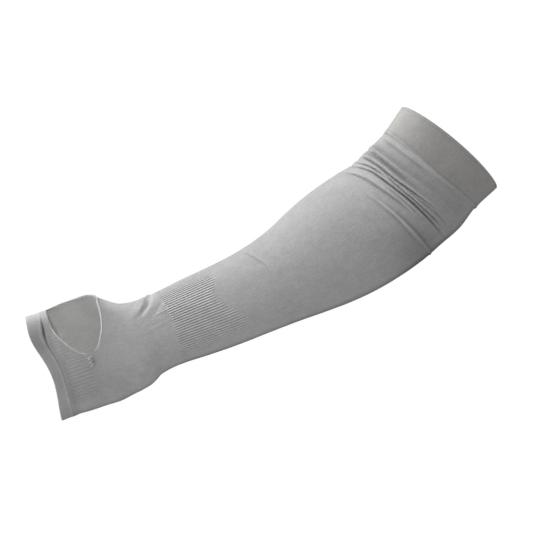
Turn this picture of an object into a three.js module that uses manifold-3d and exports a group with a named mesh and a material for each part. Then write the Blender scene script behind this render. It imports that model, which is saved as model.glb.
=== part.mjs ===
// Sun protection arm sleeve with a thumb hole, in the form it takes on a slightly bent arm.
// It is one knitted tube in two knit zones, a turned hem at each end, and an overlocked thumb hole
// that ends in a bar tack. Millimetres; +X runs from the hand to the upper arm, +Z is the thumb side,
// and -Y is the front, where the thumb hole opens. The origin is the centre of the upper-arm opening.

import * as THREE from "three";
import { mergeVertices } from "three/addons/utils/BufferGeometryUtils.js";
import Module from "manifold-3d";

// Driving sizes. Angles are in degrees round the arm: 0 thumb side, 90 front, 180 bottom, 270 back.
const FABRIC = 1.2; // wall of the knitted tube
const HEM_FABRIC = 2.2; // two layers of it
const HEM_PROUD = 0.5; // how far a hem stands out of the tube
const HEM_DIP = 0.45; // how far its outer edge dips at the seam
const GAP = 0.3; // between neighbouring pieces
const WRIST_X = -273.2; // where the hand zone meets the arm zone
const WRIST_FOLDS_X = -302; // the wrist folds lie between here and the wrist
const ELBOW_FOLDS_X = { start: -80.5, end: -35 };
const EDGING_RADIUS = 0.9; // overlock thread wrapped round the edge of the thumb hole
const TACK = { x: -342, width: 4, fromAngle: 95, toAngle: 106.2, low: 0.3, high: 1.2 };

// Edges and seams across the sleeve. bow moves the front and back of one along the arm, and each wave
// shifts it near one angle.
const HAND_RIM = {
  x: -379,
  bow: 0,
  waves: [
    { angle: 58, spread: 22, shift: -3.4 },
    { angle: 108, spread: 24, shift: 2.2 },
  ],
};
const HAND_SEAM = { x: -366.4, bow: 0, waves: [{ angle: 62, spread: 24, shift: -5 }] };
const UPPER_SEAM = { x: -22.9, bow: -4.6, waves: [] };
const UPPER_RIM = { x: 0, bow: 0, waves: [] };

// Ribs of the wrist. They run along the arm and end level, apart from one point at the front.
const RIBS = { count: 100, height: 0.6, fade: 4 };
const RIB_END = { levelX: -229, pointX: -213, pointAngle: 117, pointHalfWidth: 34 };

// How finely the faces are cut.
const COLUMNS = 36; // round the arm
const WRIST_STEP = 3.5; // along the arm, in the wrist folds
const HAND_STEP = 9;
const PLAIN_STEP = 18; // along the arm, where it is smooth
const EDGING_STEPS = 56;
const EDGING_SIDES = 6;
const TACK_STEP = 2; // degrees
const HEM_BENDS = [45, 90, 135]; // degrees round the fold of a hem

// Cross-sections from the hand to the upper arm. tilt leans a section's top back towards the hand,
// sweep carries its front and back forward, and fullness is the exponent of its rounded outline.
const SECTIONS = [
  { x: -379, z: 0.0, tilt: -8.9, halfHeight: 44.7, halfDepth: 17.0, sweep: 4.5, fullness: 2.5 },
  { x: -366, z: -2.1, tilt: -10.5, halfHeight: 44.3, halfDepth: 18.0, sweep: 4.5, fullness: 2.5 },
  { x: -352, z: -3.8, tilt: -10.7, halfHeight: 45.7, halfDepth: 20.0, sweep: 4.5, fullness: 2.5 },
  { x: -338, z: -6.0, tilt: -10.9, halfHeight: 46.0, halfDepth: 22.0, sweep: 4.5, fullness: 2.4 },
  { x: -326, z: -8.9, tilt: -10.9, halfHeight: 45.4, halfDepth: 23.5, sweep: 4.5, fullness: 2.4 },
  { x: -316, z: -13.8, tilt: -10.8, halfHeight: 40.6, halfDepth: 24.0, sweep: 5.0, fullness: 2.3 },
  { x: -307, z: -17.9, tilt: -10.6, halfHeight: 36.7, halfDepth: 23.5, sweep: 5.5, fullness: 2.3 },
  { x: -298, z: -19.1, tilt: -10.4, halfHeight: 34.2, halfDepth: 23.0, sweep: 6.0, fullness: 2.3 },
  { x: -288, z: -18.8, tilt: -10.3, halfHeight: 31.7, halfDepth: 22.5, sweep: 6.0, fullness: 2.3 },
  { x: -272, z: -19.7, tilt: -10.0, halfHeight: 31.3, halfDepth: 23.0, sweep: 6.0, fullness: 2.3 },
  { x: -250, z: -22.2, tilt: -7.3, halfHeight: 32.8, halfDepth: 25.0, sweep: 5.0, fullness: 2.2 },
  { x: -225, z: -25.1, tilt: -4.1, halfHeight: 34.2, halfDepth: 28.0, sweep: 4.0, fullness: 2.2 },
  { x: -200, z: -27.1, tilt: -1.0, halfHeight: 35.4, halfDepth: 31.5, sweep: 3.5, fullness: 2.2 },
  { x: -178, z: -28.1, tilt: 1.8, halfHeight: 37.6, halfDepth: 35.0, sweep: 3.0, fullness: 2.1 },
  { x: -158, z: -28.4, tilt: 4.4, halfHeight: 40.9, halfDepth: 38.5, sweep: 3.0, fullness: 2.1 },
  { x: -138, z: -27.5, tilt: 7.0, halfHeight: 45.1, halfDepth: 41.5, sweep: 2.5, fullness: 2.1 },
  { x: -118, z: -26.3, tilt: 10.1, halfHeight: 48.2, halfDepth: 44.0, sweep: 2.5, fullness: 2.1 },
  { x: -98, z: -24.7, tilt: 13.7, halfHeight: 49.7, halfDepth: 45.5, sweep: 2.5, fullness: 2.1 },
  { x: -78, z: -22.5, tilt: 17.2, halfHeight: 50.0, halfDepth: 46.0, sweep: 2.5, fullness: 2.1 },
  { x: -60, z: -19.9, tilt: 19.5, halfHeight: 48.8, halfDepth: 46.0, sweep: 2.5, fullness: 2.1 },
  { x: -42, z: -15.4, tilt: 20.7, halfHeight: 49.3, halfDepth: 46.0, sweep: 2.5, fullness: 2.1 },
  { x: -23, z: -8.3, tilt: 22.0, halfHeight: 48.0, halfDepth: 46.5, sweep: 2.5, fullness: 2.1 },
  { x: 0, z: 0.5, tilt: 20.9, halfHeight: 50.6, halfDepth: 48.0, sweep: 2.5, fullness: 2.1 },
];

// Folds. path holds the x of a fold at each of FOLD_ANGLES, and the fold shows between two angles.
// height is positive for a ridge and negative for a crease, and width is how far it spreads.
const FOLD_ANGLES = [20, 45, 70, 95, 120];
const ELBOW_FOLDS = [
  { path: [-78.5, -77.5, -75.8, -73.4, -72.9], from: 56, to: 114, height: -0.5, width: 1.1 },
  { path: [-75.5, -74.6, -72.9, -71.8, -71.5], from: 50, to: 170, height: 0.8, width: 0.9 },
  { path: [-71.6, -66.2, -64.3, -62.7, -62.0], from: 8, to: 108, height: -1.0, width: 1.3 },
  { path: [-62.3, -57.8, -57.9, -56.6, -56.9], from: -70, to: 170, height: -2.4, width: 1.0 },
  { path: [-57.0, -54.4, -54.9, -55.0, -54.9], from: -70, to: 64, height: -2.0, width: 0.9 },
  { path: [-54.0, -53.2, -53.5, -54.1, -53.1], from: 52, to: 142, height: -1.5, width: 0.9 },
  { path: [-52.2, -52.1, -52.3, -51.8, -49.6], from: 84, to: 146, height: -0.9, width: 0.9 },
  { path: [-50.3, -51.0, -51.1, -49.4, -47.0], from: -80, to: 116, height: -2.4, width: 1.1 },
  { path: [-48.8, -49.2, -49.3, -47.6, -45.2], from: -80, to: 110, height: 1.3, width: 1.0 },
  { path: [-42.9, -44.6, -45.8, -45.0, -42.6], from: -50, to: 88, height: -0.9, width: 1.2 },
  { path: [-40.7, -42.4, -42.4, -39.8, -39.2], from: -50, to: 100, height: 0.9, width: 1.2 },
];
const WRIST_FOLDS = [
  { path: [-283.0, -289.7, -303.0, -316.0, -329.0], from: -14, to: 72, height: -1.5, width: 2.0 },
  { path: [-276.5, -282.5, -295.0, -308.0, -321.0], from: 4, to: 78, height: 1.2, width: 1.9 },
  { path: [-260.0, -274.5, -291.0, -307.0, -323.0], from: 36, to: 80, height: -1.3, width: 1.8 },
];
const FOLD_ENDS = 20; // degrees in which a fold fades out at each end

// Outline of the thumb hole, which starts behind the crest and comes to a point at the front.
const HOLE = [
  { x: -361.5, angle: 2 },
  { x: -363.4, angle: 46 },
  { x: -361.8, angle: 62.5 },
  { x: -356.5, angle: 76.5 },
  { x: -350.0, angle: 87 },
  { x: -345.0, angle: 91.4 },
  { x: -341.0, angle: 92.5 },
  { x: -337.6, angle: 91.6 },
  { x: -333.0, angle: 87 },
  { x: -328.0, angle: 75.8 },
  { x: -325.1, angle: 66.5 },
  { x: -322.6, angle: 50 },
  { x: -321.8, angle: 34 },
  { x: -322.2, angle: 14 },
  { x: -326.5, angle: -8 },
  { x: -342.0, angle: -14 },
  { x: -356.5, angle: -10 },
];
const HOLE_MIDDLE = { x: -343, angle: 42, above: 14, below: -9 };
const CUTTER_REACH = 4; // how far the hole's cutter stands above and below the cloth

// Finishes.
const KNIT = { color: "#8f908e", roughness: 0.85 };
const HEM_KNIT = { color: "#807f7c", roughness: 0.85 };
const THREAD = { color: "#b5b1aa", roughness: 0.7 };

const SECTION_COLUMNS = ["z", "tilt", "halfHeight", "halfDepth", "sweep", "fullness"];
const sectionCurve = new THREE.CubicInterpolant(
  SECTIONS.map((row) => row.x),
  SECTIONS.flatMap((row) => SECTION_COLUMNS.map((column) => row[column])),
  SECTION_COLUMNS.length,
);

const smooth = (from, to, value) => THREE.MathUtils.smoothstep(value, from, to);

// An angle brought into the half turn either side of the front.
const nearFront = (angle) => THREE.MathUtils.euclideanModulo(angle + 90, 360) - 90;

// The x of an edge or seam at one angle.
function edgeX({ x, bow, waves }, angle) {
  const front = Math.sin(THREE.MathUtils.degToRad(angle));
  const shifts = waves.map((wave) => {
    const off = (nearFront(angle) - wave.angle) / wave.spread;
    return wave.shift * Math.exp(-off * off);
  });
  return shifts.reduce((sum, shift) => sum + shift, x + bow * front * front);
}

// A fold with its path as a smooth curve: the x of the fold at an angle.
function foldLine(fold) {
  const curve = new THREE.CubicInterpolant(FOLD_ANGLES, fold.path, 1);
  return { ...fold, lineX: (angle) => curve.evaluate(nearFront(angle))[0] };
}
const elbowFolds = ELBOW_FOLDS.map(foldLine);
const folds = [...elbowFolds, ...WRIST_FOLDS.map(foldLine)];

// How far the folds lift the cloth at one place.
function foldHeight(x, angle) {
  const turn = nearFront(angle);
  let lift = 0;
  for (const { lineX, from, to, height, width } of folds) {
    const along = (x - lineX(angle)) / width;
    const inside = smooth(from, from + FOLD_ENDS, turn) * (1 - smooth(to - FOLD_ENDS, to, turn));
    lift += height * inside * Math.exp(-along * along);
  }
  return lift;
}

// How high the wrist ribs stand at one place.
function ribHeight(x, angle) {
  const fromPoint = Math.abs(nearFront(angle) - RIB_END.pointAngle) / RIB_END.pointHalfWidth;
  const reach = Math.max(0, 1 - fromPoint) * (RIB_END.pointX - RIB_END.levelX);
  const end = RIB_END.levelX + reach;
  return RIBS.height * (1 - smooth(end - RIBS.fade, end, x));
}

// The outward direction and the place of one point of the cloth, depth out from its outer face.
function clothPoint(x, angle, depth) {
  const [z, tilt, halfHeight, halfDepth, sweep, fullness] = sectionCurve.evaluate(x);
  const turn = THREE.MathUtils.degToRad(angle);
  const lean = THREE.MathUtils.degToRad(tilt);
  const up = Math.cos(turn);
  const front = Math.sin(turn);
  const reach = (Math.abs(up) ** fullness + Math.abs(front) ** fullness) ** (-1 / fullness);
  const slope = (share, half) => (Math.sign(share) * Math.abs(share * reach) ** (fullness - 1)) / half;
  const out = new THREE.Vector2(slope(up, halfHeight), slope(front, halfDepth)).normalize();
  const lift = depth + foldHeight(x, angle);
  const high = halfHeight * reach * up + lift * out.x;
  const near = halfDepth * reach * front + lift * out.y;
  return {
    place: new THREE.Vector3(
      x - Math.sin(lean) * high + sweep * front * front,
      -near,
      z + Math.cos(lean) * high,
    ),
    outward: new THREE.Vector3(-Math.sin(lean) * out.x, -out.y, Math.cos(lean) * out.x),
  };
}

// One closed ring of points round the arm. xAt and depthAt give its places by angle and column.
function ring(xAt, depthAt, columns = COLUMNS) {
  return Array.from({ length: columns }, (_, k) => {
    const angle = (360 * k) / columns;
    return clothPoint(xAt(angle), angle, depthAt(angle, k)).place;
  });
}

const level = (value) => () => value;
const plainRing = (xAt) => ring(xAt, level(0));
const liningRing = (xAt) => ring(xAt, level(-FABRIC));

// A ring of ribbed cloth: two columns for each rib, a ridge and a groove by turns.
function ribbedRing(x) {
  return ring(level(x), (angle, k) => (k % 2 === 0 ? ribHeight(x, angle) : 0), 2 * RIBS.count);
}

// Evenly spaced values from one end to the other, no further apart than step.
function stations(from, to, step) {
  const count = Math.max(1, Math.ceil(Math.abs(to - from) / step));
  return Array.from({ length: count + 1 }, (_, k) => from + ((to - from) * k) / count);
}

// The closed skin over a loop of rings. Neighbouring rings may have different numbers of points.
function skin(rings) {
  const positions = [];
  const indices = [];
  const first = rings.map((points) => {
    const base = positions.length / 3;
    points.forEach((point) => positions.push(point.x, point.y, point.z));
    return base;
  });
  rings.forEach((a, r) => {
    const next = (r + 1) % rings.length;
    const [countA, countB] = [a.length, rings[next].length];
    const onA = (k) => first[r] + (k % countA);
    const onB = (k) => first[next] + (k % countB);
    for (let i = 0, j = 0; i < countA || j < countB; ) {
      if (j >= countB || (i < countA && (i + 1) / countA <= (j + 1) / countB)) {
        indices.push(onA(i), onA(i + 1), onB(j));
        i += 1;
      } else {
        indices.push(onA(i), onB(j + 1), onB(j));
        j += 1;
      }
    }
  });
  const geometry = new THREE.BufferGeometry();
  geometry.setAttribute("position", new THREE.Float32BufferAttribute(positions, 3));
  geometry.setIndex(indices);
  return geometry;
}

// A tube of cloth between its outer rings, with the inner wall along the lining stations.
function clothTube(outerRings, lining) {
  return skin([...outerRings, ...lining.map(liningRing).reverse()]);
}

// A turned hem: two layers of cloth with a round fold at the rim and a soft edge at the seam.
function hem(seam, rim) {
  const towardsRim = Math.sign(rim.x - seam.x);
  const radius = HEM_FABRIC / 2;
  const middle = HEM_PROUD - radius;
  const fromSeam = (step) => (angle) => edgeX(seam, angle) + towardsRim * (GAP / 2 + step);
  const fromRim = (step) => (angle) => edgeX(rim, angle) - towardsRim * step;
  const between = (angle) => (fromSeam(radius)(angle) + fromRim(radius)(angle)) / 2;
  const profile = [
    [fromSeam(0), HEM_PROUD - HEM_DIP],
    [fromSeam(radius), HEM_PROUD],
    [between, HEM_PROUD],
    [fromRim(radius), HEM_PROUD],
  ];
  for (const bend of HEM_BENDS) {
    const turn = THREE.MathUtils.degToRad(bend);
    profile.push([fromRim(radius * (1 - Math.sin(turn))), middle + radius * Math.cos(turn)]);
  }
  profile.push([fromRim(radius), middle - radius], [fromSeam(0), middle - radius]);
  if (towardsRim < 0) profile.reverse();
  return skin(profile.map(([xAt, depth]) => ring(xAt, level(depth))));
}

const wasm = await Module();
wasm.setup();

function solidOf(geometry) {
  const bare = new THREE.BufferGeometry();
  bare.setAttribute("position", geometry.getAttribute("position"));
  bare.setIndex(geometry.getIndex());
  const merged = mergeVertices(bare);
  const vertProperties = new Float32Array(merged.getAttribute("position").array);
  const triVerts = new Uint32Array(merged.getIndex().array);
  return new wasm.Manifold(new wasm.Mesh({ numProp: 3, vertProperties, triVerts }));
}

function geometryOf(solid) {
  const { vertProperties, triVerts } = solid.getMesh();
  const geometry = new THREE.BufferGeometry();
  geometry.setAttribute("position", new THREE.BufferAttribute(vertProperties, 3));
  geometry.setIndex(new THREE.BufferAttribute(triVerts, 1));
  return geometry;
}

// The edge of the thumb hole in steps: the middle of the cloth, the way out of it and the way past the edge.
function holeEdge(steps) {
  const corners = HOLE.map(({ x, angle }) => new THREE.Vector3(x, angle, 0));
  const outline = new THREE.CatmullRomCurve3(corners, true, "catmullrom");
  const edge = stations(0, 1, 1 / steps)
    .slice(0, steps)
    .map((t) => {
      const { x, y: angle } = outline.getPoint(t);
      return clothPoint(x, angle, -FABRIC / 2);
    });
  return edge.map(({ place, outward }, k) => {
    const before = edge[(k + steps - 1) % steps].place;
    const after = edge[(k + 1) % steps].place;
    const tangent = after.clone().sub(before).normalize();
    return { place, outward, aside: tangent.cross(outward).normalize() };
  });
}

// A plug as large as the thumb hole with room for its edging, to be cut out of the cloth.
function holeCutter() {
  const edge = holeEdge(EDGING_STEPS);
  const rim = (reach) =>
    edge.map(({ place, outward, aside }) =>
      place
        .clone()
        .addScaledVector(aside, EDGING_RADIUS + GAP)
        .addScaledVector(outward, reach),
    );
  const middle = (depth) => clothPoint(HOLE_MIDDLE.x, HOLE_MIDDLE.angle, depth).place;
  const points = [...rim(CUTTER_REACH), ...rim(-CUTTER_REACH)];
  points.push(middle(HOLE_MIDDLE.above), middle(HOLE_MIDDLE.below));
  const indices = [];
  const [top, bottom] = [points.length - 2, points.length - 1];
  for (let k = 0; k < EDGING_STEPS; k += 1) {
    const next = (k + 1) % EDGING_STEPS;
    const [low, lowNext] = [k + EDGING_STEPS, next + EDGING_STEPS];
    indices.push(k, low, next, next, low, lowNext, top, k, next, bottom, lowNext, low);
  }
  const geometry = new THREE.BufferGeometry().setFromPoints(points);
  geometry.setIndex(indices);
  return solidOf(geometry);
}

// The hand zone, from the hand hem to the wrist, with the thumb hole cut out.
function handZone() {
  const along = [
    (angle) => edgeX(HAND_SEAM, angle) + GAP / 2,
    ...stations(HAND_SEAM.x + HAND_STEP / 2, WRIST_FOLDS_X, HAND_STEP).map(level),
    ...stations(WRIST_FOLDS_X + WRIST_STEP, WRIST_X - GAP / 2, WRIST_STEP).map(level),
  ];
  const tube = clothTube(along.map(plainRing), along);
  return geometryOf(solidOf(tube).subtract(holeCutter()));
}

// The arm zone, from the ribbed wrist to the upper hem. Its rings follow the folds of the elbow,
// with one more ring between each fold and the next.
function armZone() {
  const start = WRIST_X + GAP / 2;
  const ribbed = [
    start,
    RIB_END.levelX - RIBS.fade,
    ...stations(RIB_END.levelX, RIB_END.pointX, 2 * RIBS.fade),
  ];
  const plain = stations(RIB_END.pointX + PLAIN_STEP, ELBOW_FOLDS_X.start, PLAIN_STEP).map(level);
  const folded = elbowFolds.flatMap(({ lineX }, k) => {
    const next = elbowFolds[k + 1]?.lineX ?? level(ELBOW_FOLDS_X.end);
    return [lineX, (angle) => (lineX(angle) + next(angle)) / 2];
  });
  const upper = [level(ELBOW_FOLDS_X.end), (angle) => edgeX(UPPER_SEAM, angle) - GAP / 2];
  const smoothCloth = [...plain, ...folded, ...upper];
  const outer = [...ribbed.map(ribbedRing), ...smoothCloth.map(plainRing)];
  const ribLining = stations(start, RIB_END.pointX, 2 * PLAIN_STEP).map(level);
  return clothTube(outer, [...ribLining, ...smoothCloth]);
}

function thumbEdging() {
  const path = new THREE.CatmullRomCurve3(
    holeEdge(EDGING_STEPS).map(({ place }) => place),
    true,
  );
  return new THREE.TubeGeometry(path, EDGING_STEPS, EDGING_RADIUS, EDGING_SIDES, true);
}

// The bar tack: a small pad of thread that lies on the cloth below the point of the thumb hole.
function barTack() {
  const from = TACK.x - TACK.width / 2;
  const to = TACK.x + TACK.width / 2;
  const block = [
    [from, TACK.low],
    [from, TACK.high],
    [to, TACK.high],
    [to, TACK.low],
  ];
  const slices = stations(TACK.fromAngle, TACK.toAngle, TACK_STEP).map((angle) =>
    block.map(([x, depth]) => clothPoint(x, angle, depth).place),
  );
  const points = slices.flat();
  const indices = [];
  const sides = block.length;
  const last = points.length - sides;
  for (let base = 0; base < last; base += sides) {
    for (let k = 0; k < sides; k += 1) {
      const [a, b] = [base + k, base + ((k + 1) % sides)];
      indices.push(a, a + sides, b, b, a + sides, b + sides);
    }
  }
  indices.push(0, 1, 2, 0, 2, 3, last, last + 2, last + 1, last, last + 3, last + 2);
  const geometry = new THREE.BufferGeometry().setFromPoints(points);
  geometry.setIndex(indices);
  return geometry;
}

function piece(name, geometry, finish) {
  const mesh = new THREE.Mesh(geometry, new THREE.MeshStandardMaterial({ ...finish, metalness: 0 }));
  mesh.name = name;
  return mesh;
}

const sleeve = new THREE.Group();
sleeve.add(
  piece("hand_hem", hem(HAND_SEAM, HAND_RIM), HEM_KNIT),
  piece("hand_section", handZone(), KNIT),
  piece("thumb_hole_edging", thumbEdging(), THREAD),
  piece("thumb_hole_bar_tack", barTack(), THREAD),
  piece("arm_section", armZone(), KNIT),
  piece("upper_hem", hem(UPPER_SEAM, UPPER_RIM), HEM_KNIT),
);

export default sleeve;
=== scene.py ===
"""Looks of a knitted sun protection arm sleeve: cloth, hems, thumb hole, stitches, studio and camera.

Shapes are worked out in millimetres, in the frame of the solids, and turned into metres as meshes.
Angles are in degrees round the arm: 0 thumb side (+Z), 90 front (-Y), 180 bottom, 270 back.
"""

import math

import bpy
import numpy as np
from mathutils import Matrix, Vector


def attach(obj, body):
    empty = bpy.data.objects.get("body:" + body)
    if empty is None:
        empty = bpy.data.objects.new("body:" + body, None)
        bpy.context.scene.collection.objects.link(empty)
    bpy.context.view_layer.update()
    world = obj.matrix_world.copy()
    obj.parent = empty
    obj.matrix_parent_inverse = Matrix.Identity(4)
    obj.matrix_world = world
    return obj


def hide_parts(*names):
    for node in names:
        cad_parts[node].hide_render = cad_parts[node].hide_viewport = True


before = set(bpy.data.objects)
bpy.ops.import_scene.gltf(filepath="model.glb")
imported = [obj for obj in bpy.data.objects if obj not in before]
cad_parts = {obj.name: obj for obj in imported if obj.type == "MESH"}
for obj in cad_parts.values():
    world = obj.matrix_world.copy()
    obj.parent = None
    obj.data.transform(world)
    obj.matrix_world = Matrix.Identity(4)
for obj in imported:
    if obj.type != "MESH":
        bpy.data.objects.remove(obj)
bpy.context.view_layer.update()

MM = 0.001

# Sizes along and through the cloth, in millimetres.
FABRIC = 1.2
HEM_FABRIC = 2.2
HEM_PROUD = 0.5
TUCK = 0.6  # how far a cloth edge runs in under its hem
# The edge of a hem at its seam, as rows of (step in from the seam, depth, share of the welt).
HEM_EDGE = (
    (0.0, -0.9, 0.0), (0.05, -0.3, 0.0), (0.25, 0.15, 0.3), (0.6, 0.45, 0.8),
    (1.1, 0.5, 1.0), (1.7, 0.5, 0.9), (2.4, 0.5, 0.45), (3.0, 0.5, 0.12),
)
# The welt along the seam of a hem swells near one angle. groove is the depth of the groove beside the
# rim, and the rim's share of painted highlight tells how much paler the rim is painted.
HAND_WELT = {
    "height": 0.3, "swell": 0.35, "angle": 68.0, "spread": 15.0, "groove": 0.08, "rim_highlight": 0.0,
}
UPPER_WELT = {
    "height": 0.1, "swell": 0.5, "angle": 34.0, "spread": 30.0, "groove": 0.26, "rim_highlight": 0.22,
}
# The shallow groove of a hem beside its rolled rim, and the rows that shape it.
RIM_GROOVE = {"from_rim": 1.7, "spread": 0.55, "start": 3.2, "step": 0.3}
WRIST_X = -273.2

# Edges and seams across the sleeve. bow moves the front and back of one along the arm, and each wave
# shifts it near one angle.
HAND_RIM = {
    "x": -379.0,
    "bow": 0.0,
    "waves": (
        {"angle": 58, "spread": 22, "shift": -3.4},
        {"angle": 108, "spread": 24, "shift": 2.2},
    ),
}
HAND_SEAM = {"x": -366.4, "bow": 0.0, "waves": ({"angle": 62, "spread": 24, "shift": -5.0},)}
UPPER_SEAM = {"x": -22.9, "bow": -4.6, "waves": ()}
UPPER_RIM = {"x": 0.0, "bow": 0.0, "waves": ()}

# Cross-sections from the hand to the upper arm, as in the solids, in rows of x, z, tilt, half height,
# half depth, sweep and fullness. Tilts are in degrees, and a fullness of 2 is an ellipse.
SECTIONS = np.array([
    (-379, 0.0, -8.9, 44.7, 17.0, 4.5, 2.5),
    (-366, -2.1, -10.5, 44.3, 18.0, 4.5, 2.5),
    (-352, -3.8, -10.7, 45.7, 20.0, 4.5, 2.5),
    (-338, -6.0, -10.9, 46.0, 22.0, 4.5, 2.4),
    (-326, -8.9, -10.9, 45.4, 23.5, 4.5, 2.4),
    (-316, -13.8, -10.8, 40.6, 24.0, 5.0, 2.3),
    (-307, -17.9, -10.6, 36.7, 23.5, 5.5, 2.3),
    (-298, -19.1, -10.4, 34.2, 23.0, 6.0, 2.3),
    (-288, -18.8, -10.3, 31.7, 22.5, 6.0, 2.3),
    (-272, -19.7, -10.0, 31.3, 23.0, 6.0, 2.3),
    (-250, -22.2, -7.3, 32.8, 25.0, 5.0, 2.2),
    (-225, -25.1, -4.1, 34.2, 28.0, 4.0, 2.2),
    (-200, -27.1, -1.0, 35.4, 31.5, 3.5, 2.2),
    (-178, -28.1, 1.8, 37.6, 35.0, 3.0, 2.1),
    (-158, -28.4, 4.4, 40.9, 38.5, 3.0, 2.1),
    (-138, -27.5, 7.0, 45.1, 41.5, 2.5, 2.1),
    (-118, -26.3, 10.1, 48.2, 44.0, 2.5, 2.1),
    (-98, -24.7, 13.7, 49.7, 45.5, 2.5, 2.1),
    (-78, -22.5, 17.2, 50.0, 46.0, 2.5, 2.1),
    (-60, -19.9, 19.5, 48.8, 46.0, 2.5, 2.1),
    (-42, -15.4, 20.7, 49.3, 46.0, 2.5, 2.1),
    (-23, -8.3, 22.0, 48.0, 46.5, 2.5, 2.1),
    (0, 0.5, 20.9, 50.6, 48.0, 2.5, 2.1),
])

# Folds across the arm. A fold passes through the five x values at FOLD_ANGLES and shows between two
# angles. Its height is negative for a crease, and it spreads a little way to the hand and to the arm.
FOLD_ANGLES = (20.0, 45.0, 70.0, 95.0, 120.0)
FOLD_COLUMNS = ("path", "start", "end", "height", "to_hand", "to_arm")
FOLDS = (
    ((-78.5, -77.5, -75.6, -74.0, -74.4), 56, 140, -0.9, 1.2, 0.9),
    ((-75.5, -74.6, -73.0, -72.0, -71.5), 64, 176, 0.95, 0.8, 0.9),
    ((-75.5, -74.6, -73.0, -72.0, -71.5), 108, 192, 0.8, 0.8, 0.9),
    ((-70.4, -70.3, -70.2, -70.0, -70.2), 84, 176, -0.75, 0.8, 0.95),
    ((-71.5, -66.6, -64.8, -62.9, -62.0), 6, 112, -2.4, 0.9, 1.3),
    ((-60.2, -60.2, -60.2, -60.0, -59.8), 62, 122, -1.1, 0.6, 0.8),
    ((-61.9, -57.9, -57.4, -56.7, -56.7), -70, 172, -2.6, 0.65, 0.8),
    ((-61.9, -57.9, -57.4, -56.7, -56.7), 42, 116, -0.8, 0.6, 0.7),
    ((-56.8, -54.4, -54.6, -54.7, -54.6), 0, 68, -2.4, 0.65, 0.7),
    ((-50.0, -50.3, -53.9, -54.2, -53.7), 50, 146, -1.8, 0.6, 0.65),
    ((-52.0, -51.9, -52.0, -51.6, -49.6), 84, 146, -1.1, 0.6, 0.7),
    ((-50.3, -50.5, -51.3, -49.7, -46.9), -80, 134, -2.6, 0.65, 0.75),
    ((-48.3, -48.5, -49.2, -47.9, -45.1), -80, 124, 2.0, 0.8, 2.0),
    ((-42.9, -44.6, -45.8, -44.8, -42.4), -50, 98, -2.0, 0.9, 0.8),
    ((-40.4, -42.5, -42.9, -40.8, -39.2), -50, 108, 2.3, 0.9, 3.2),
    ((-28.2, -29.8, -31.0, -30.4, -29.0), 8, 100, -1.4, 1.8, 1.6),
    ((-58.4, -58.4, -58.4, -58.4, -58.4), -60, 22, 3.0, 1.1, 1.4),
    ((-50.6, -50.6, -50.6, -50.6, -50.6), -60, 22, 3.0, 1.1, 1.4),
    ((-190.4, -184.6, -179.0, -173.5, -168.0), 18, 78, -1.2, 0.9, 0.9),
    ((-285.0, -291.8, -313.3, -334.3, -352.3), 0, 60, 1.1, 6.0, 2.4),
    ((-280.4, -286.4, -307.9, -329.4, -348.4), -5, 62, -1.15, 1.9, 4.0),
    ((-281.6, -281.6, -281.6, -281.6, -281.6), -40, 28, 0.9, 1.6, 2.4),
    ((-277.0, -283.0, -297.0, -312.0, -327.0), 0, 70, 0.7, 4.2, 4.0),
    ((-260.8, -272.0, -289.8, -314.0, -334.0), 34, 72, -0.6, 2.6, 3.0),
    ((-301.0, -301.0, -301.0, -301.0, -301.0), 135, 215, 0.4, 3.0, 3.0),
    ((-291.5, -291.5, -291.5, -291.5, -291.5), 135, 215, -0.4, 2.5, 3.0),
)
FOLD_FADE = {"least": 20.0, "share": 0.28}  # degrees, and share of the whole fold
# The folds stand a little higher in the crook of the arm, but low where they pass over the thumb side.
CROOK_GAIN = {"angles": (80.0, 30.0), "share": 0.15}
CROOK_DIP = {"angles": (30.0, 8.0), "share": 0.8, "x": (-120.0, -100.0)}
CREASE_POWER = 1.5  # below 2 makes the bottom of a crease sharper than a round valley

# Folds along the arm.
LONG_FOLD_COLUMNS = ("angle", "start_x", "end_x", "height", "spread")
LONG_FOLDS = (
    (64.5, -286, -266, 0.5, 1.4),
    (76.5, -296, -266, -0.12, 1.6),
    (81.0, -296, -266, 0.15, 1.6),
    (37.0, -400, -346, 1.0, 13.0),
    (72.0, -400, -362, -0.7, 14.0),
)
LONG_FOLD_FADE = 6.0

# Ribs. They follow the wales of the knit; those of the wrist end level, with two points at the front.
RIB_COUNT = 100
RIB_POWER = 2.4  # above 2 makes a rib broader than the groove beside it
RIB_SUNK = 0.6  # share of a rib's height that lies below the plain cloth
# Painted light and shade of the ribs: a painted highlight on each rib, weaker on the lower side, and
# painted shade in the grooves.
RIB_PAINTED_LIGHT = {"rib": 1.6, "groove": 0.2, "lower": 0.88, "lower_from": (62.0, 90.0)}
# At the thumb side the ribs start a little nearer to the hand.
WRIST_RIB = {"height": 1.0, "start": 1.2, "fade": 4.5, "lead": 1.6, "lead_from": (62.0, 14.0)}
# Share of the height of the wrist ribs, as (angle, share): clearest on the upper front.
WRIST_RIB_SHARES = ((0, 0.3), (18, 0.45), (34, 1.0), (62, 1.05), (84, 0.75), (112, 0.55), (150, 0.3))
WRIST_RIB_LEVEL_X = -228.4
WRIST_RIB_POINTS = (
    {"angle": 117.0, "x": -211.0, "half_width": 36.0},
    {"angle": 50.0, "x": -221.6, "half_width": 19.0},
)
HAND_RIB = {"height": 0.14, "start": 0.5, "end_x": -341.0, "fade": 5.0}
LINING_RIB_SHARE = 0.4  # how far the painted light and shade of the ribs shows on the inside
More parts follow.
